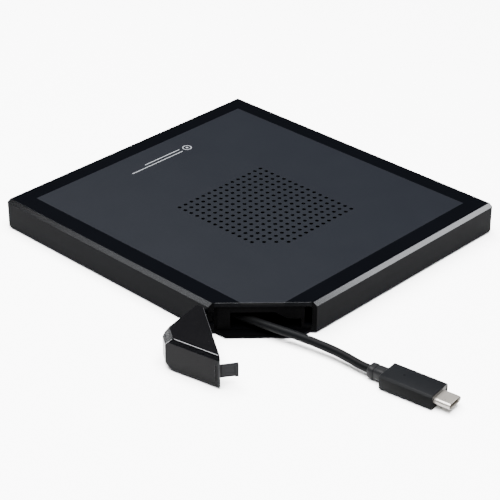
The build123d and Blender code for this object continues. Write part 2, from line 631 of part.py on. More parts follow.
SLED_IN, SLED_OUT = LENS_U - 11.0, LENS_U + 6.0
with BuildPart() as pickup_sled:
    slab(mech_plane(4.4), SLED_IN, SLED_OUT, -13.5, 13.5, 2.2)
    slab(mech_plane(6.6), SLED_IN, LENS_U - 5.4, -13.5, 13.5, 1.2)
    slab(mech_plane(6.6), LENS_U + 5.0, SLED_OUT, -6.5, 6.5, 1.2)
    slab(mech_plane(4.6), SLED_IN + 1, SLED_IN + 9, 13.0, 21.0, 2.35)
    slab(mech_plane(4.6), LENS_U - 3, LENS_U + 3, -18.0, -13.0, 2.35)
    for rod_v in (-ROD_V, ROD_V):
        with BuildSketch(along_mech(0, rod_v, ROD_Z)):
            Circle(ROD_R + 0.05)
        extrude(amount=60, mode=Mode.SUBTRACT)
    with BuildSketch(along_mech(0, SCREW_V, SCREW_Z)):
        Circle(SCREW_R + RUNNING)
    extrude(amount=60, mode=Mode.SUBTRACT)
save(pickup_sled.part, "pickup_sled")

with BuildPart() as lens_magnets:
    slab(mech_plane(6.6), LENS_U - 5.2, LENS_U - 4.2, -4, 4, 1.1)
    slab(mech_plane(6.6), LENS_U + 4.0, LENS_U + 4.9, -4, 4, 1.1)
save(lens_magnets.part, "lens_magnets")

with BuildPart() as lens_holder:
    slab(mech_plane(7.0), LENS_U - 3.6, LENS_U + 3.6, -5, 5, 0.7)
    with BuildSketch(mech_plane(7.0)):
        with Locations((LENS_U, 0)):
            Circle(2.0)
    extrude(amount=0.7, mode=Mode.SUBTRACT)
save(lens_holder.part, "lens_holder")

with BuildPart() as objective_lens:
    with BuildSketch(mech_plane(7.1)):
        with Locations((LENS_U, 0)):
            Circle(2.0)
    extrude(amount=0.6)
    lens_top = objective_lens.faces().sort_by(Axis.Z)[-1].edges()
    chamfer(lens_top, 0.3)
save(objective_lens.part, "objective_lens")

# ---------------------------------------------------------------- boards and wiring in the drive

with BuildPart() as tray_board:
    block(0, 50, 22, 46, 5.9, 6.7)
    for chip_x, chip_y, half in ((12, 34, 4), (28, 32, 5.5), (42, 30, 3)):
        block(chip_x - half, chip_x + half, chip_y - half, chip_y + half, 5.2, 5.9)
    for support_x in (3, 22, 47):
        block(support_x - 1, support_x + 1, 43, 45, 6.7, TRAY_FLOOR_LOW)
    block(32, 50, 43, 46, 5.3, 5.9)
save(tray_board.part, "tray_board")

with BuildPart() as main_board:
    block(-60, 42, 40, 53.2, 3.4, 4.2)
    for stand_x in (-56, -8, 38):
        post(stand_x, 48, 1.6, PAN_Z + SHEET, 3.4)
    for chip_x, half in ((-45, 4), (-30, 3), (20, 3.5)):
        block(chip_x - half, chip_x + half, 46 - half, 46 + half, 4.2, 4.9)
    block(DRIVE_X - 11, DRIVE_X + 11, TRAY_BACK + 0.4, DRIVE_BACK, 4.2, 8.3)
    block(DRIVE_X - 11, DRIVE_X + 11, 47, DRIVE_BACK, 4.2, 5.6)
    block(32, 38, 40.2, 42.2, 4.2, 4.8)
save(main_board.part, "main_board")

FLEX_LOW, FLEX_HIGH, FLEX_T = 2.95, 5.15, 0.15
FLEX_BEND_Y = -15.0
with BuildPart() as drive_flex:
    bend_r = (FLEX_HIGH - FLEX_LOW) / 2
    middle_z = (FLEX_HIGH + FLEX_LOW) / 2
    flex_plane = Plane(origin=(34, 0, 0), x_dir=(0, 1, 0), z_dir=(1, 0, 0))
    with BuildSketch(flex_plane):
        with BuildLine():
            low = Line((39.9, FLEX_LOW), (FLEX_BEND_Y, FLEX_LOW))
            bend = ThreePointArc(
                (FLEX_BEND_Y, FLEX_LOW),
                (FLEX_BEND_Y - bend_r, middle_z),
                (FLEX_BEND_Y, FLEX_HIGH),
            )
            high = Line((FLEX_BEND_Y, FLEX_HIGH), (45.5, FLEX_HIGH))
            back = FLEX_HIGH - FLEX_T
            high_end = Line((45.5, FLEX_HIGH), (45.5, back))
            high_in = Line((45.5, back), (FLEX_BEND_Y, back))
            bend_in = ThreePointArc(
                (FLEX_BEND_Y, back),
                (FLEX_BEND_Y - bend_r + FLEX_T, middle_z),
                (FLEX_BEND_Y, FLEX_LOW + FLEX_T),
            )
            low_in = Line((FLEX_BEND_Y, FLEX_LOW + FLEX_T), (39.9, FLEX_LOW + FLEX_T))
            low_end = Line((39.9, FLEX_LOW + FLEX_T), (39.9, FLEX_LOW))
        make_face()
    extrude(amount=14)
save(drive_flex.part, "drive_flex")

# ---------------------------------------------------------------- interface board in the channel

SOCKET_X0, SOCKET_X1 = DRIVE_X - 11, DRIVE_X + 11
with BuildPart() as data_socket:
    block(SOCKET_X0, SOCKET_X1, DRIVE_BACK + 0.1, DRIVE_BACK + 4, 4.3, 8.3)
save(data_socket.part, "data_socket")

RIBBON_T, RIBBON_LOW, RIBBON_HIGH, RIBBON_OFF = 0.25, 4.6, 8.0, 0.25
with BuildPart() as data_ribbon:
    near = RIBBON_OFF
    far = RIBBON_OFF + RIBBON_T
    slant_near = DRIVE_RIGHT + DRIVE_BACK - DRIVE_CHAMFER + near * sqrt(2)
    slant_far = DRIVE_RIGHT + DRIVE_BACK - DRIVE_CHAMFER + far * sqrt(2)
    right_near, right_far = DRIVE_RIGHT + near, DRIVE_RIGHT + far
    back_near, back_far = DRIVE_BACK + near, DRIVE_BACK + far
    with BuildSketch(Plane.XY.offset(RIBBON_LOW)):
        strip = [
            (right_near, -8),
            (right_far, -8),
            (right_far, slant_far - right_far),
            (slant_far - back_far, back_far),
            (SOCKET_X1, back_far),
            (SOCKET_X1, back_near),
            (slant_near - back_near, back_near),
            (right_near, slant_near - right_near),
        ]
        Polygon(*strip, align=None)
    extrude(amount=RIBBON_HIGH - RIBBON_LOW)
save(data_ribbon.part, "data_ribbon")

BOARD_X0, BOARD_X1, BOARD_Y0, BOARD_Y1 = 60.0, 68.6, -56.0, -2.0
BOARD_Z, BOARD_T = FLOOR_Z + 1.0, 1.0
with BuildPart() as interface_board:
    block(BOARD_X0, BOARD_X1, BOARD_Y0, BOARD_Y1, BOARD_Z, BOARD_Z + BOARD_T)
save(interface_board.part, "interface_board")

with BuildPart() as board_parts:
    top = BOARD_Z + BOARD_T
    block(61, 67, -44, -38, top, top + 0.9)
    block(61.4, 66.6, -30, -25, top, top + 0.9)
    block(62, 66.5, -20.5, -17.5, top, top + 1.1)
    block(59.6, 61.2, -14, -8, top, 8.2)
    for part_y in (-53, -49.5, -35, -33):
        block(63, 65, part_y, part_y + 1.2, top, top + 0.8)
save(board_parts.part, "board_parts")

with BuildPart() as cable_clamp:
    block(CLAMP_X - 3.6, CLAMP_X + 3.6, CLAMP_Y0, CLAMP_Y1, FLOOR_Z, 8.6)
    with BuildSketch(Plane(origin=(CLAMP_X, CLAMP_Y0, CLAMP_Z), x_dir=(1, 0, 0), z_dir=(0, 1, 0))):
        Circle(1.2)
    extrude(amount=CLAMP_Y1 - CLAMP_Y0 - 3, mode=Mode.SUBTRACT)
    fillet(cable_clamp.edges().filter_by(Axis.Y).group_by(Axis.Z)[-1], 1.0)
save(cable_clamp.part, "cable_clamp")

with BuildPart() as inner_wires:
    for k in range(4):
        wire_x = CLAMP_X - 0.9 + 0.6 * k
        wire_start = (wire_x, CLAMP_Y1 - 3.2, CLAMP_Z)
        knee = (wire_x, CLAMP_Y0 - 3.0, CLAMP_Z)
        wire_end = (62.0 + 1.5 * k, BOARD_Y1 - 2.0, BOARD_Z + BOARD_T + 0.3)
        with BuildLine() as wire_path:
            FilletPolyline(wire_start, knee, wire_end, radius=2.0)
        with BuildSketch(Plane(origin=wire_start, z_dir=(0, -1, 0))):
            Circle(0.27)
        sweep(path=wire_path.wire())
save(inner_wires.part, "inner_wires")

# ---------------------------------------------------------------- captive cable and its plug



def plug_point(along):
    """A point on the plug's axis, measured forward from its overmould's back face."""
    turn = radians(PLUG_TURN)
    return (PLUG_X - along * sin(turn), PLUG_Y + along * cos(turn), PLUG_Z)


CABLE_ROUTE = [
    (64.6, 18.0, 6.0),
    (64.6, 27.0, 6.0),
    (62.2, 41.0, 6.1),
    (59.2, 53.0, 5.9),
    (55.9, 65.5, 5.0),
    (52.1, 78.5, 4.3),
    (49.7, 92.6, 3.8),
    (49.5, 101.0, 3.5),
    plug_point(-BOOT_L - 4),
    plug_point(-BOOT_L),
]


def route_radii(points, share=0.45):
    """For each corner of a route, the largest tangent arc that its two runs allow."""
    radii = []
    for before, corner, after in zip(points, points[1:], points[2:]):
        run_in = Vector(*corner) - Vector(*before)
        run_out = Vector(*after) - Vector(*corner)
        half_turn = radians(run_in.get_angle(run_out)) / 2
        radii.append(share * min(run_in.length, run_out.length) / tan(half_turn))
    return radii


cable_radii = route_radii(CABLE_ROUTE)
with BuildLine() as cable_path:
    FilletPolyline(*CABLE_ROUTE, radius=cable_radii)
cable_length = cable_path.wire().length
with BuildPart() as usb_cable:
    with BuildSketch(Plane(origin=CABLE_ROUTE[0], z_dir=(0, 1, 0))):
        Circle(CABLE_R)
    sweep(path=cable_path.wire())
save(usb_cable.part, "usb_cable")
print("cable radii", [round(r, 1) for r in cable_radii], "length", round(cable_length, 1))
ideal = 3.14159265 * CABLE_R**2 * cable_length
print("cable volume over section times length", round(usb_cable.part.volume / ideal, 4))


def plug_plane(along, up=0.0):
    """Faces along the plug's axis, from its overmould's back face; local x is across, y is up."""
    turn = radians(PLUG_TURN)
    ahead = (-sin(turn), cos(turn), 0)
    across = (cos(turn), sin(turn), 0)
    origin = (PLUG_X + ahead[0] * along, PLUG_Y + ahead[1] * along, PLUG_Z + up)
    return Plane(origin=origin, x_dir=(-across[0], -across[1], 0), z_dir=ahead)


with BuildPart() as plug_overmould:
    with BuildSketch(plug_plane(0)):
        half_w, half_h = OVERMOULD[0] / 2, OVERMOULD[2] / 2
        right_side = [(half_w - 0.9, -half_h), (half_w, -half_h + 0.85), (half_w, half_h - 0.85), (half_w - 0.7, half_h)]
        left_side = [(-x, y) for x, y in reversed(right_side)]
        Polygon(*right_side, *left_side, align=None)
    extrude(amount=OVERMOULD[1])
    with BuildSketch(plug_plane(OVERMOULD[1] - 1.2)):
        SlotOverall(SHELL[0] + 1.0, SHELL[2] + 1.0)
    extrude(amount=2, mode=Mode.SUBTRACT)
    with BuildSketch(plug_plane(OVERMOULD[1] - 8)):
        SlotOverall(SHELL[0], SHELL[2])
    extrude(amount=10, mode=Mode.SUBTRACT)
save(plug_overmould.part, "plug_overmould")

with BuildPart() as plug_boot:
    with BuildSketch(plug_plane(-BOOT_L)):
        RectangleRounded(5.0, 4.3, 1.6)
    with BuildSketch(plug_plane(0)):
        RectangleRounded(5.9, 4.9, 1.6)
    loft()
save(plug_boot.part, "plug_boot")

with BuildPart() as plug_shell:
    with BuildSketch(plug_plane(OVERMOULD[1] - 8)):
        SlotOverall(SHELL[0], SHELL[2])
        SlotOverall(SHELL[0] - 0.6, SHELL[2] - 0.6, mode=Mode.SUBTRACT)
    extrude(amount=8 + SHELL[1])
save(plug_shell.part, "plug_shell")

with BuildPart() as plug_contacts:
    with BuildSketch(plug_plane(OVERMOULD[1] - 8)):
        SlotOverall(SHELL[0] - 0.6, SHELL[2] - 0.6)
    extrude(amount=8)
    for level in (-0.78, 0.78):
        for k in range(-5, 6):
            with BuildSketch(plug_plane(OVERMOULD[1], level)):
                with Locations((0.5 * k, 0)):
                    Rectangle(0.25, 0.3)
            extrude(amount=SHELL[1] - 0.6)
save(plug_contacts.part, "plug_contacts")
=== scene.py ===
import math

import bpy
import bmesh
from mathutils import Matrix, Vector


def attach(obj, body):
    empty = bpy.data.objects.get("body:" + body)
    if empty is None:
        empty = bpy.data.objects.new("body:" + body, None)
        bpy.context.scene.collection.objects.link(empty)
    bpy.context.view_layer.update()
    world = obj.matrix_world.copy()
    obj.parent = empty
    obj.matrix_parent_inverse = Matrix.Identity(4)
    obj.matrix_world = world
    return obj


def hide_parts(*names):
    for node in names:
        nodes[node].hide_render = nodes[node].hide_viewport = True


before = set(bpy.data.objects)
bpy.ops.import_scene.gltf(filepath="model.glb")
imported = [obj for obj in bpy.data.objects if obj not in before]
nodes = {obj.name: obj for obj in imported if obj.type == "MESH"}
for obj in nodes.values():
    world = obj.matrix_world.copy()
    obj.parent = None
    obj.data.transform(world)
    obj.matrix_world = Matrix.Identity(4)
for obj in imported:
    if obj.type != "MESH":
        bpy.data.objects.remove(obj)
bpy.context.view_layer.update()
MM = 0.001


def mm(*values):
    """A point given in millimetres, in the row frame."""
    return Vector(values) * MM


def placed(name, data):
    """A new object in the scene."""
    piece = bpy.data.objects.new(name, data)
    bpy.context.collection.objects.link(piece)
    return piece


def facing(start, aim):
    """The rotation of a camera or lamp at start that looks at aim."""
    return (Vector(aim) - Vector(start)).to_track_quat("-Z", "Y").to_euler()


# ---------------------------------------------------------------- camera

CAMERA_AT = mm(475.01, 459.01, 373.41)
CAMERA_AIM = mm(13.405, 13.347, 0.8)

camera = placed("camera", bpy.data.cameras.new("camera"))
camera.data.lens = 126.24
camera.data.sensor_width = 36
camera.data.clip_start, camera.data.clip_end = 0.02, 50
camera.location = CAMERA_AT
camera.rotation_euler = facing(CAMERA_AT, CAMERA_AIM)
bpy.context.scene.camera = camera

# ---------------------------------------------------------------- shader helpers


class Shader:
    """A node material with one Principled surface and short ways to wire detail into it."""

    def __init__(self, name, **sockets):
        self.material = bpy.data.materials.new(name)
        self.material.use_nodes = True
        self.tree = self.material.node_tree
        self.surface = self.tree.nodes["Principled BSDF"]
        self.coordinates = self.add("ShaderNodeTexCoord")
        self.place = self.coordinates.outputs["Object"]
        for socket, value in sockets.items():
            self.surface.inputs[socket.replace("_", " ")].default_value = value

    def add(self, kind, **inputs):
        node = self.tree.nodes.new(kind)
        for socket, value in inputs.items():
            node.inputs[socket.replace("_", " ")].default_value = value
        return node

    def link(self, out, to):
        self.tree.links.new(out, to)

    def stretched(self, scale):
        """The object's own coordinates, scaled by three numbers."""
        node = self.add("ShaderNodeMapping", Scale=scale)
        self.link(self.place, node.inputs["Vector"])
        return node.outputs["Vector"]

    def axes(self, kind):
        """The object's own position in metres, or its normal, as x, y and z."""
        node = self.add("ShaderNodeSeparateXYZ")
        self.link(self.coordinates.outputs[kind], node.inputs["Vector"])
        return [node.outputs[axis] for axis in "XYZ"]

    def toward(self, kind, vector):
        """Distance from a point, or the length along a direction."""
        node = self.add("ShaderNodeVectorMath")
        node.operation = kind
        node.inputs[1].default_value = vector
        return node

    def math(self, kind, one, two, within=None):
        """A maths node on one socket and a second socket or a number."""
        node = self.add("ShaderNodeMath")
        node.operation = kind
        self.link(one, node.inputs[0])
        if isinstance(two, float):
            node.inputs[1].default_value = two
        else:
            self.link(two, node.inputs[1])
        if within is not None:
            node.inputs[2].default_value = within
        return node.outputs["Value"]

    def below(self, out, value):
        return self.math("LESS_THAN", out, value)

    def above(self, out, value):
        return self.math("GREATER_THAN", out, value)

    def near(self, out, middle, half):
        """One where out is within half a width of middle, both in millimetres."""
        return self.math("COMPARE", out, middle * MM, half * MM)

    def noise(self, scale, detail=3.0, stretch=None):
        node = self.add("ShaderNodeTexNoise", Scale=scale, Detail=detail, Roughness=0.5)
        self.link(self.stretched(stretch) if stretch else self.place, node.inputs["Vector"])
        return node.outputs["Fac"]

    def spread(self, out, low, high, start=0.3, end=0.7):
        """out from start to end becomes low to high."""
        node = self.add("ShaderNodeMapRange")
        sockets = ("From Min", "From Max", "To Min", "To Max")
        for socket, value in zip(sockets, (start, end, low, high)):
            node.inputs[socket].default_value = value
        self.link(out, node.inputs["Value"])
        return node.outputs["Result"]

    def behind_cut(self, low, high):
        """One behind the cut corner, fading to none in front; low and high are x + y in mm."""
        node = self.toward("DOT_PRODUCT", (1, 1, 0))
        self.link(self.place, node.inputs[0])
        return self.spread(node.outputs["Value"], 1.0, 0.0, low * MM, high * MM)

    def ramp(self, out, stops):
        """Two colours along a socket's value."""
        node = self.add("ShaderNodeValToRGB")
        for element, (place, color) in zip(node.color_ramp.elements, stops):
            element.position = place
            element.color = (*color, 1.0)
        self.link(out, node.inputs["Fac"])
        return node.outputs["Color"]

    def color(self, out):
        self.link(out, self.surface.inputs["Base Color"])

    def roughness(self, out):
        self.link(out, self.surface.inputs["Roughness"])

    def over(self, socket, kind, mask, value):
        """One socket of the surface takes a value wherever mask is one."""
        target = self.surface.inputs[socket]
        mix = self.add("ShaderNodeMix")
        mix.data_type = kind
        self.link(mask, mix.inputs["Factor"])
        self.link(target.links[0].from_socket, mix.inputs["A"])
        mix.inputs["B"].default_value = value
        self.link(mix.outputs["Result"], target)

    def paint(self, mask, color):
        self.over("Base Color", "RGBA", mask, (*color, 1))

    def dull(self, mask, rough):
        self.over("Roughness", "FLOAT", mask, rough)

    def bump(self, height, strength, depth):
        """A height with its strength and its depth in metres."""
        node = self.add("ShaderNodeBump", Strength=strength, Distance=depth)
        self.link(height, node.inputs["Height"])
        self.link(node.outputs["Normal"], self.surface.inputs["Normal"])


def shade(color, factor):
    return tuple(c * factor for c in color)


# ---------------------------------------------------------------- kinds of finish


def plastic(
    name, color, rough, grain=1800.0, depth=0.00001, strength=0.25, spec=0.5, vary=0.18, smudge=0.06
):
    """Moulded plastic: fine grain, slow colour drift and faint handling marks in its gloss."""
    s = Shader(name, Specular_IOR_Level=spec)
    drift = [(0.25, shade(color, 1 - vary)), (0.75, shade(color, 1 + vary))]
    s.color(s.ramp(s.noise(35.0, 4.0), drift))
    s.roughness(s.spread(s.noise(70.0, 6.0), rough - smudge, rough + smudge))
    s.bump(s.noise(grain, 2.0), strength, depth)
    return s


def metal(name, color, rough, stretch=(40.0, 1.0, 1.0), scale=900.0, metallic=1.0):
    """Rolled or ground metal with fine lines along one direction."""
    s = Shader(name, Metallic=metallic)
    lines = s.noise(scale, 4.0, stretch)
    s.color(s.ramp(lines, [(0.3, shade(color, 0.86)), (0.7, shade(color, 1.08))]))
    s.roughness(s.spread(s.noise(60.0, 5.0), rough - 0.07, rough + 0.09))
    s.bump(lines, 0.12, 0.000008)
    return s


def laminate(name):
    """Circuit board: solder mask over tracks, with bare pads."""
    s = Shader(name)
    brick = s.add("ShaderNodeTexBrick", Scale=420.0, Mortar_Size=0.04)
    brick.offset = 0.37
    s.link(s.place, brick.inputs["Vector"])
    brick.inputs["Color1"].default_value = (0.008, 0.060, 0.022, 1)
    brick.inputs["Color2"].default_value = (0.010, 0.085, 0.030, 1)
    brick.inputs["Mortar"].default_value = (0.020, 0.130, 0.050, 1)
    s.color(brick.outputs["Color"])
    s.roughness(s.spread(s.noise(300.0), 0.28, 0.42))
    s.bump(brick.outputs["Fac"], 0.3, 0.00002)
    return s


def striped(name, stretch):
    """A film with parallel copper tracks under it."""
    light, dark, rough = (0.46, 0.20, 0.05), (0.30, 0.11, 0.03), 0.3
    s = Shader(name)
    wave = s.add("ShaderNodeTexWave", Scale=1.0, Distortion=0.0)
    s.link(s.stretched(stretch), wave.inputs["Vector"])
    s.color(s.ramp(wave.outputs["Fac"], [(0.45, dark), (0.6, light)]))
    s.roughness(s.spread(s.noise(200.0), rough - 0.05, rough + 0.05))
    s.bump(wave.outputs["Fac"], 0.2, 0.00003)
    return s


# The lid's mark, in millimetres: a ring with a dot, and two lines as
# (middle x, half length, y)
RING_AT, RING_RADIUS, RING_HALF_WIDTH, DOT_RADIUS = (-16.6, -55.3, 0), 1.95, 0.2, 0.6
MARK_LINES = ((2.6, 15.4, -54.2), (-2.2, 10.6, -56.4))
MARK_LINE_HALF_WIDTH = 0.22
HOLE_WALL = 0.8  # faces of the panel whose normal's z is below this are its holes' walls


def marked_panel(name, color, silver, hole_shade):
    """The lid's fine matte plastic, its plain printed mark, and its holes' walls painted near-black
    as shade.
    """
    s = plastic(name, color, 0.50, 2600.0, 0.00002, 0.35, spec=0.035, vary=0.04, smudge=0.02)
    x, y, _ = s.axes("Object")
    reach = s.toward("DISTANCE", mm(*RING_AT))
    s.link(s.stretched((1.0, 1.0, 0.0)), reach.inputs[0])
    reach = reach.outputs["Value"]
    mask = s.math(
        "MAXIMUM", s.near(reach, RING_RADIUS, RING_HALF_WIDTH), s.near(reach, 0.0, DOT_RADIUS)
    )
    for middle_x, half_x, line_y in MARK_LINES:
        line = s.math(
            "MULTIPLY", s.near(x, middle_x, half_x), s.near(y, line_y, MARK_LINE_HALF_WIDTH)
        )
        mask = s.math("MAXIMUM", mask, line)
    s.paint(mask, silver)
    # The holes' walls are painted near-black: painted shade inside the holes.
    s.paint(s.below(s.axes("Normal")[2], HOLE_WALL), hole_shade)
    return s


def contact_bars(name, metal_color, dark):
    """The plug's insert: dark plastic inside, plated contacts towards its two walls."""
    s = Shader(name, Roughness=0.35)
    inner = s.near(s.axes("Object")[2], 3.15, 0.55)
    s.color(s.ramp(inner, [(0.4, metal_color), (0.6, dark)]))
    s.bump(s.noise(2000.0), 0.2, 0.000005)
    return s


FACET_SLOPE = (0.3, 0.93)  # a polished facet's normal has its z between these
CORNER_LEAN = 0.08  # x times y of a normal is above this on faces towards the cut corner
DEAD_MATTE = 0.95


def bright_cut(s, foot, metal_color, rough, corner=None):
    """Facets above a height in millimetres carry a polished, slightly metallic finish.

    Faces towards the cut corner, if a colour is given for them, are dull and take that colour as
    painted shade instead.
    """
    height = s.axes("Object")[2]
    nx, ny, nz = s.axes("Normal")
    mask = s.above(height, foot * MM)
    for part in (s.above(nz, FACET_SLOPE[0]), s.below(nz, FACET_SLOPE[1])):
        mask = s.math("MULTIPLY", mask, part)
    # Faces facing the cut corner, the recess walls, get a painted shade tone and a dead matte
    # surface.
    if corner:
        across = s.math("MULTIPLY", nx, ny)
        mask = s.math("MULTIPLY", mask, s.below(across, CORNER_LEAN))
        corner_facing_shade = s.above(across, CORNER_LEAN)
        s.paint(corner_facing_shade, corner)
        s.dull(corner_facing_shade, DEAD_MATTE)
    s.paint(mask, metal_color)
    s.link(mask, s.surface.inputs["Metallic"])
    s.dull(mask, rough)
    return s


# ---------------------------------------------------------------- finishes

PIANO_BLACK = (0.0006, 0.0007, 0.0010)
SHADOW = (0.0003, 0.0003, 0.0004)
CASE_BEVEL_FOOT, DOOR_FACET_FOOT = 11.5, 3.5

gloss_lid = plastic(
    "gloss_lid", PIANO_BLACK, 0.12, 400.0, 0.0000004, 0.01, spec=0.05, vary=0.1, smudge=0.008
)
gloss_lid.dull(gloss_lid.below(gloss_lid.axes("Normal")[2], 0.5), DEAD_MATTE)

gloss_side = plastic(
    "gloss_side", PIANO_BLACK, 0.3, 900.0, 0.000001, 0.02, spec=0.008, vary=0.1, smudge=0.02
)
# The last colour is the painted shade tone for the recess walls by the cut corner.
bright_cut(
    gloss_side, CASE_BEVEL_FOOT, (0.10, 0.102, 0.107), 0.2, corner=(0.0011, 0.0011, 0.0012)
)

# The door's tab, painted lighter as a highlight, begins past one y, and the painted shadow of its
# hinge barrel ends at one x, in millimetres
TAB_FROM_Y, HINGE_TO_X = 75.6, 72.0
door_gloss = plastic(
    "door_gloss", (0.0012, 0.0012, 0.0014), 0.25, 900.0, 0.000003, 0.06,
    spec=0.03, vary=0.1, smudge=0.04,
)
bright_cut(door_gloss, DOOR_FACET_FOOT, (0.024, 0.025, 0.028), 0.25)
door_x, door_y, _ = door_gloss.axes("Object")
# The tab is painted lighter: a painted highlight for the light it catches.
door_gloss.paint(door_gloss.above(door_y, TAB_FROM_Y * MM), (0.0058, 0.0060, 0.0066))
# The hinge end is painted shadow-dark and dead matte: painted shadow at the hinge knuckle.
hinge_shadow = door_gloss.below(door_x, HINGE_TO_X * MM)
door_gloss.paint(hinge_shadow, SHADOW)
door_gloss.dull(hinge_shadow, DEAD_MATTE)

# Light-toned plastics for thin lines along edges that stand in for highlights: painted highlights.
edge_highlight = plastic(
    "edge_highlight", (0.14, 0.142, 0.147), 0.3, 900.0, 0.000004, 0.08, spec=0.3, vary=0.1
)
dim_edge_highlight = plastic(
    "dim_edge_highlight", (0.030, 0.031, 0.033), 0.3, 900.0, 0.000004, 0.08, spec=0.1, vary=0.1
)
# Its last colour is the painted shade of the panel's hole walls.
panel_matte = marked_panel(
    "panel_matte", (0.0024, 0.0028, 0.0039), (0.10, 0.103, 0.11), (0.0002, 0.0002, 0.0003)
)
satin_black = plastic("satin_black", (0.0030, 0.0032, 0.0038), 0.42, spec=0.06)
# The base's black is taken down to the painted shadow tone, so the sill in the recess reads as
# shade.
shaded_base_black = plastic("shaded_base_black", SHADOW, 0.75, 1400.0, 0.00003, 0.4, spec=0.005)
tray_black = plastic(
    "tray_black", (0.0028, 0.0029, 0.0033), 0.50, 2000.0, 0.00003, 0.4, spec=0.08
)
rubber = plastic("rubber", (0.0030, 0.0030, 0.0034), 0.80, 1200.0, 0.00003, 0.5, spec=0.05)

jacket = plastic("jacket", (0.0014, 0.0015, 0.0017), 0.42, 1500.0, 0.00002, 0.35, spec=0.02)
# The cable inside the case is painted near-black and dull: painted shade of the recess.
in_case_shade = jacket.behind_cut(112.0, 122.0)
jacket.paint(in_case_shade, (0.0002, 0.0002, 0.0002))
jacket.dull(in_case_shade, 0.9)

# The plug's grip: a dark top, chamfers painted lighter as a highlight and sides painted darker as
# shade, by the normal's z
overmould = plastic(
    "overmould", (0.0026, 0.0028, 0.0032), 0.42, 2200.0, 0.00002, 0.4, spec=0.02
)
grip_lean = overmould.axes("Normal")[2]
# Painted highlight on the chamfers, then painted shade on the sides.
overmould.paint(overmould.below(grip_lean, 0.9), (0.0052, 0.0054, 0.0057))
overmould.paint(overmould.below(grip_lean, 0.35), (0.0012, 0.0013, 0.0014))

# The nose is grey above the shell and painted dark beside and below it, as shade from the shell
NOSE_GREY_FROM = 4.3
nose_grey = plastic("nose_grey", (0.045, 0.043, 0.040), 0.45, 2200.0, 0.00002, 0.3, spec=0.05)
nose_grey.paint(
    nose_grey.below(nose_grey.axes("Object")[2], NOSE_GREY_FROM * MM), (0.0016, 0.0016, 0.0017)
)

boot_rubber = plastic(
    "boot_rubber", (0.0032, 0.0033, 0.0036), 0.45, 1600.0, 0.00002, 0.35, spec=0.05
)
chip = plastic("chip", (0.0050, 0.0050, 0.0058), 0.55, 3000.0, 0.00002, 0.5, spec=0.1)
nylon = plastic("nylon", (0.12, 0.116, 0.108), 0.45, spec=0.3)
sheet_steel = metal("sheet_steel", (0.10, 0.102, 0.105), 0.34)
black_steel = metal("black_steel", (0.012, 0.0122, 0.0128), 0.45)
rod_steel = metal("rod_steel", (0.20, 0.20, 0.205), 0.18, (1.0, 1.0, 30.0))
zinc = metal("zinc", (0.060, 0.060, 0.063), 0.45, (1.0, 1.0, 1.0), 700.0)
core = metal("core", (0.06, 0.032, 0.016), 0.45, (1.0, 1.0, 12.0))
nickel = metal("nickel", (0.175, 0.165, 0.150), 0.32, (1.0, 6.0, 1.0), 1500.0, metallic=0.7)
# The contacts' plated metal is darkened far below real plating: painted shade of the plug's mouth.
shaded_gold = contact_bars("shaded_gold", (0.05, 0.04, 0.025), (0.001, 0.001, 0.001))
board = laminate("board")
flex = striped("flex", (260.0, 1.0, 1.0))
ribbon = striped("ribbon", (1.0, 1.0, 300.0))

FINISHES = {
    "side_frame": gloss_side, "bottom_cover": shaded_base_black, "foot_ring": rubber,
    "case_screws": sheet_steel, "top_plate": gloss_lid, "top_panel": panel_matte,
    "corner_door": door_gloss, "hinge_pin": black_steel, "drive_pan": sheet_steel,
    "drive_cover": black_steel, "rail_left": sheet_steel, "rail_right": sheet_steel,
    "slider_left": sheet_steel, "slider_right": sheet_steel, "tray": tray_black,
    "tray_bezel": satin_black, "eject_button": satin_black, "led_light_pipe": nylon,
    "mech_deck": sheet_steel, "guide_rods": rod_steel, "lead_screw": rod_steel,
    "sled_motor": sheet_steel, "damper_bushes": rubber, "spindle_stator": core,
    "spindle_rotor": sheet_steel, "spindle_shaft": rod_steel, "hub_claws": nylon,
    "turntable_pad": rubber, "pickup_sled": zinc, "lens_magnets": rod_steel,
    "lens_holder": nylon, "objective_lens": rod_steel, "tray_board": board,
    "main_board": board, "drive_flex": flex, "data_socket": chip, "data_ribbon": ribbon,
    "interface_board": board, "board_parts": chip, "cable_clamp": satin_black,
    "inner_wires": jacket, "usb_cable": jacket, "plug_overmould": overmould,
    "plug_boot": rubber, "plug_shell": nickel, "plug_contacts": shaded_gold,
}
for name, finish in FINISHES.items():
    mesh = nodes[name].data
    mesh.materials.clear()
    mesh.materials.append(finish.material)

# ---------------------------------------------------------------- shape helpers


def made(name, vertices, faces, finish, replaced=(), slot=None, body="case", smooth=False):
    """A piece from millimetre vertices; it rides on a body and may stand for CAD nodes."""
    mesh = bpy.data.meshes.new(name)
    mesh.from_pydata([Vector(v) * MM for v in vertices], [], faces)
    mesh.update()
    shape = bmesh.new()
    shape.from_mesh(mesh)
    bmesh.ops.recalc_face_normals(shape, faces=shape.faces)
    shape.to_mesh(mesh)
    shape.free()
    piece = placed(name, mesh)
    mesh.materials.append(finish.material)
    if smooth:
        mesh.shade_smooth()
    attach(piece, body)
    if replaced:
        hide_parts(*replaced)
    return piece


def ring_faces(rings, count, first=0, ends=(True, True)):
    """Faces through rings of count vertices each, and over the first and last ring."""
    faces = [
        (start + k, start + (k + 1) % count, start + count + (k + 1) % count, start + count + k)
        for start in range(first, first + (rings - 1) * count, count)
        for k in range(count)
    ]
    for closed, start in zip(ends, (first, first + (rings - 1) * count)):
        if closed:
            faces.append(tuple(range(start, start + count)))
    return faces


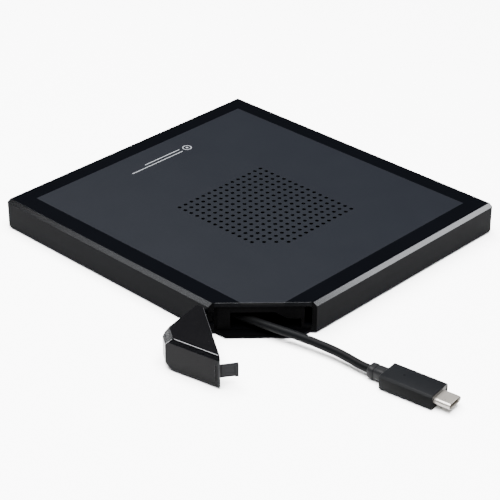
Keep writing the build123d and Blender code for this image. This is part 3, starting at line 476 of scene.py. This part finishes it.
def rounded(half_w, half_h, radius, steps):
    """The outline of a rounded rectangle, anticlockwise from the right of its lower side."""
    loop = []
    for quarter, (sx, sy) in enumerate(((1, -1), (1, 1), (-1, 1), (-1, -1))):
        for k in range(steps + 1):
            a = math.radians(-90 + 90 * quarter + 90 * k / steps)
            loop.append((
                sx * (half_w - radius) + radius * math.cos(a),
                sy * (half_h - radius) + radius * math.sin(a),
            ))
    return loop


# ---------------------------------------------------------------- captive cable

PLUG_TURN = math.radians(7.4)
PLUG_BACK = (48.15, 118.1, 3.15)  # the middle of the grip's back face
AHEAD = Vector((-math.sin(PLUG_TURN), math.cos(PLUG_TURN), 0))
ASIDE = Vector((math.cos(PLUG_TURN), math.sin(PLUG_TURN), 0))
CABLE_RADIUS = 1.75


def on_plug(along, across=0.0, up=0.0):
    """A point in millimetres, measured forward, sideways and up from the grip's back face."""
    return Vector(PLUG_BACK) + AHEAD * along + ASIDE * across + Vector((0, 0, up))


CABLE_ROUTE = [
    (64.6, 18.0, 6.0),
    (64.6, 27.0, 6.0),
    (62.2, 41.0, 6.1),
    (59.2, 53.0, 5.9),
    (55.9, 65.5, 5.0),
    (52.1, 78.5, 4.3),
    (49.7, 92.6, 3.8),
    (49.5, 101.0, 3.5),
    on_plug(-11.5),
    on_plug(-7.5),
]
cable_line = bpy.data.curves.new("captive_cable", "CURVE")
cable_line.dimensions = "3D"
spline = cable_line.splines.new("NURBS")
spline.points.add(len(CABLE_ROUTE) - 1)
for point, place in zip(spline.points, CABLE_ROUTE):
    point.co = (*mm(*place), 1)
spline.order_u = 3
spline.use_endpoint_u = True
spline.resolution_u = 12
cable_line.bevel_depth = CABLE_RADIUS * MM
cable_line.bevel_resolution = 8
cable_line.use_fill_caps = True
cable = placed("captive_cable", cable_line)
cable_line.materials.append(jacket.material)
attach(cable, "case")
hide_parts("usb_cable")

# ---------------------------------------------------------------- plug


def loft(rings, ends=(True, True)):
    """Vertices and faces through outlines across the plug; each ring is (along, outline)."""
    vertices = [on_plug(along, a, u) for along, loop in rings for a, u in loop]
    return vertices, ring_faces(len(rings), len(rings[0][1]), ends=ends)


# The grip: a flat top and base between chamfered long sides, and a recessed nose
GRIP_W, GRIP_H, GRIP_L = 5.8, 3.15, 23.0  # half width, half height, length
GRIP_ROUNDING = 0.12


def grip_loop(shrink):
    """The grip's eight-sided section, each corner rounded off by two short steps."""
    w, h = GRIP_W - shrink, GRIP_H - shrink
    corners = [(w - 0.9, -h), (w, -h + 0.85), (w, h - 0.85), (w - 0.7, h)]
    corners += [(-x, y) for x, y in reversed(corners)]
    loop = []
    for k, (x, y) in enumerate(corners):
        here = Vector((x, y))
        before, after = Vector(corners[k - 1]) - here, Vector(corners[(k + 1) % 8]) - here
        one = here + before.normalized() * GRIP_ROUNDING
        two = here + after.normalized() * GRIP_ROUNDING
        loop += [tuple(one), tuple((one + two) / 4 + here / 2), tuple(two)]
    return loop


GRIP_STEPS = (
    (0.0, 0.16), (0.04, 0.05), (0.16, 0.0), (GRIP_L - 0.16, 0.0), (GRIP_L - 0.04, 0.05),
    (GRIP_L, 0.16), (GRIP_L, 0.5), (GRIP_L - 0.35, 0.55),
)
NOSE_STEPS = ((GRIP_L - 0.6, 0.6), (GRIP_L - 0.2, 0.6), (GRIP_L - 0.12, 0.7))
grip = made(
    "plug_grip", *loft([(along, grip_loop(shrink)) for along, shrink in GRIP_STEPS]),
    overmould, ("plug_overmould",), smooth=True,
)
nose = made(
    "plug_nose", *loft([(along, grip_loop(shrink)) for along, shrink in NOSE_STEPS]),
    nose_grey, slot="plug_overmould_surface", smooth=True,
)

# The indicator: a small round dimple in the grip's top, as radius and height of each ring
DIMPLE_AT, DIMPLE_SIDES = (-0.3, 7.4), 20
DIMPLE_RINGS = ((0.42, -0.2), (0.42, 0.03), (0.3, 0.03), (0.26, -0.04))
dimple_vertices = [
    on_plug(
        DIMPLE_AT[1] + radius * math.sin(math.tau * k / DIMPLE_SIDES),
        DIMPLE_AT[0] + radius * math.cos(math.tau * k / DIMPLE_SIDES),
        GRIP_H + up,
    )
    for radius, up in DIMPLE_RINGS
    for k in range(DIMPLE_SIDES)
]
dimple = made(
    "plug_indicator", dimple_vertices, ring_faces(len(DIMPLE_RINGS), DIMPLE_SIDES),
    gloss_lid, slot="plug_overmould_surface",
)

# The strain relief: a collar with one groove, as place along the plug and relative size
BOOT_W, BOOT_H, BOOT_CORNER = 2.95, 2.45, 1.6
BOOT_STEPS = (
    (-7.5, 0.74), (-7.35, 0.88), (-7.1, 0.95), (-6.7, 0.99), (-5.0, 1.0), (-4.8, 0.97),
    (-4.7, 0.86), (-4.3, 0.84), (-4.2, 0.93), (-4.0, 0.96), (-0.2, 0.98), (0.0, 0.98),
)
boot = made(
    "plug_collar",
    *loft([
        (along, rounded(BOOT_W * size, BOOT_H * size, BOOT_CORNER * size, 6))
        for along, size in BOOT_STEPS
    ]),
    boot_rubber, ("plug_boot",), smooth=True,
)

# The shell: one folded sheet with a rolled mouth
SHELL_W, SHELL_H, SHELL_WALL = 4.17, 1.28, 0.3
SHELL_BACK, SHELL_OUT = GRIP_L - 1.0, GRIP_L + 6.65
SHELL_STEPS = (
    (SHELL_BACK, 0.0), (SHELL_OUT - 0.22, 0.0), (SHELL_OUT - 0.07, 0.05), (SHELL_OUT, 0.14),
    (SHELL_OUT - 0.03, 0.24), (SHELL_OUT - 0.12, SHELL_WALL), (SHELL_BACK, SHELL_WALL),
)
shell = made(
    "plug_tube",
    *loft(
        [
            (along, rounded(SHELL_W - shrink, SHELL_H - shrink, SHELL_H - shrink - 0.001, 7))
            for along, shrink in SHELL_STEPS
        ],
        ends=(False, False),
    ),
    nickel, ("plug_shell",), smooth=True,
)

# ---------------------------------------------------------------- painted highlight lines along edges

LINE_SIDES, LINE_TAPER, LINE_TIP = 6, 0.5, 0.2


def highlight_line(name, points, radius, finish, node, body):
    """A thin painted highlight line laid along straight edges, given as millimetre points, tapered
    at its ends.
    """
    vertices, line_faces = [], []
    for start, end in zip(points, points[1:]):
        start, end = Vector(start), Vector(end)
        run = (end - start).normalized()
        side = run.orthogonal().normalized()
        up = run.cross(side)
        rings = (
            (start, LINE_TIP), (start + run * LINE_TAPER, 1.0),
            (end - run * LINE_TAPER, 1.0), (end, LINE_TIP),
        )
        line_faces += ring_faces(len(rings), LINE_SIDES, first=len(vertices))
        for place, size in rings:
            for k in range(LINE_SIDES):
                a = math.tau * k / LINE_SIDES
                vertices.append(place + (side * math.cos(a) + up * math.sin(a)) * radius * size)
    return made(name, vertices, line_faces, finish, slot=f"{node}_surface", body=body, smooth=True)


CASE_TOP = 14.3
EDGE_Z = CASE_TOP - 0.08
LIP_Z = CASE_TOP - 0.10
# Painted highlight lines on the door's front edge, its rim and the lid's lip.
highlight_line(
    "door_front_highlight", [(99.35, 51.85, 11.3), (97.75, 54.7, EDGE_Z), (93.95, 75.2, EDGE_Z)],
    0.09, edge_highlight, "corner_door", "door",
)
highlight_line(
    "door_rim_highlight", [(74.25, 46.75, EDGE_Z), (93.75, 75.2, EDGE_Z)],
    0.08, dim_edge_highlight, "corner_door", "door",
)
highlight_line(
    "lip_highlight", [(69.5, 47.7, LIP_Z), (42.3, 74.9, LIP_Z)],
    0.12, dim_edge_highlight, "top_plate", "case",
)

# The thin sheet that closes the tray's mechanism from below
SHEET_OUTLINE = [
    (-58, -66), (26, -66), (30, -62), (30, 14), (26, 18), (-40, 18), (-62, -4), (-62, -62),
]
SHEET_LOW, SHEET_HIGH = 3.2, 3.42
made(
    "tray_under_sheet",
    [(x, y, z) for z in (SHEET_LOW, SHEET_HIGH) for x, y in SHEET_OUTLINE],
    ring_faces(2, len(SHEET_OUTLINE)),
    sheet_steel, slot="mech_deck_surface", body="tray_body",
)

# ---------------------------------------------------------------- softened edges

EDGE_WIDTHS = {"top_panel": 0.05, "corner_door": 0.14, "foot_ring": 0.1, "bottom_cover": 0.08}
for name, width in EDGE_WIDTHS.items():
    weld = nodes[name].modifiers.new("weld", "WELD")
    weld.merge_threshold = 0.001 * MM
    bevel = nodes[name].modifiers.new("edges", "BEVEL")
    bevel.width = width * MM
    bevel.segments = 2
    bevel.limit_method = "ANGLE"
    bevel.angle_limit = math.radians(28)
    bevel.harden_normals = True

# ---------------------------------------------------------------- floor and light

FLOOR_HALF = 6
FLOOR_DROP = 0.00005  # keeps the floor off the foot's flat underside

floor_mesh = bpy.data.meshes.new("floor")
floor_mesh.from_pydata(
    [(x * FLOOR_HALF, y * FLOOR_HALF, 0) for x, y in ((-1, -1), (1, -1), (1, 1), (-1, 1))],
    [], [(0, 1, 2, 3)],
)
floor = placed("floor", floor_mesh)
floor.location.z = -FLOOR_DROP
pale = Shader("floor_paint", Roughness=0.9, Specular_IOR_Level=0.0)
pale.color(pale.ramp(pale.noise(2.0), [(0.3, (0.90, 0.90, 0.90)), (0.7, (0.92, 0.92, 0.92))]))
floor_mesh.materials.append(pale.material)

world = bpy.data.worlds.new("studio")
bpy.context.scene.world = world
world.use_nodes = True
background = world.node_tree.nodes["Background"]
background.inputs["Color"].default_value = (0.9, 0.95, 1.0, 1)
background.inputs["Strength"].default_value = 0.05

# Each softbox looks at the origin: its place, its two sides in metres and its power in watts
SOFTBOXES = {
    "overhead": ((0.15, 0.15, 1.25), (1.2, 1.2), 190),
    "top_left": ((-0.15, -0.70, 1.2), (0.7, 0.5), 45),
    "right_card": ((-0.82, 0.66, 0.27), (0.5, 0.3), 2.9),
    "left_card": ((0.80, -0.52, 0.31), (0.35, 0.25), 0.3),
    "front_card": ((-0.10, -1.0, 0.17), (0.5, 0.25), 0.5),
}
for name, (place, size, power) in SOFTBOXES.items():
    light = bpy.data.lights.new(name, "AREA")
    light.shape = "RECTANGLE"
    light.size, light.size_y = size
    light.energy = power
    lamp = placed(name, light)
    lamp.location = place
    lamp.rotation_euler = facing(place, (0, 0, 0))
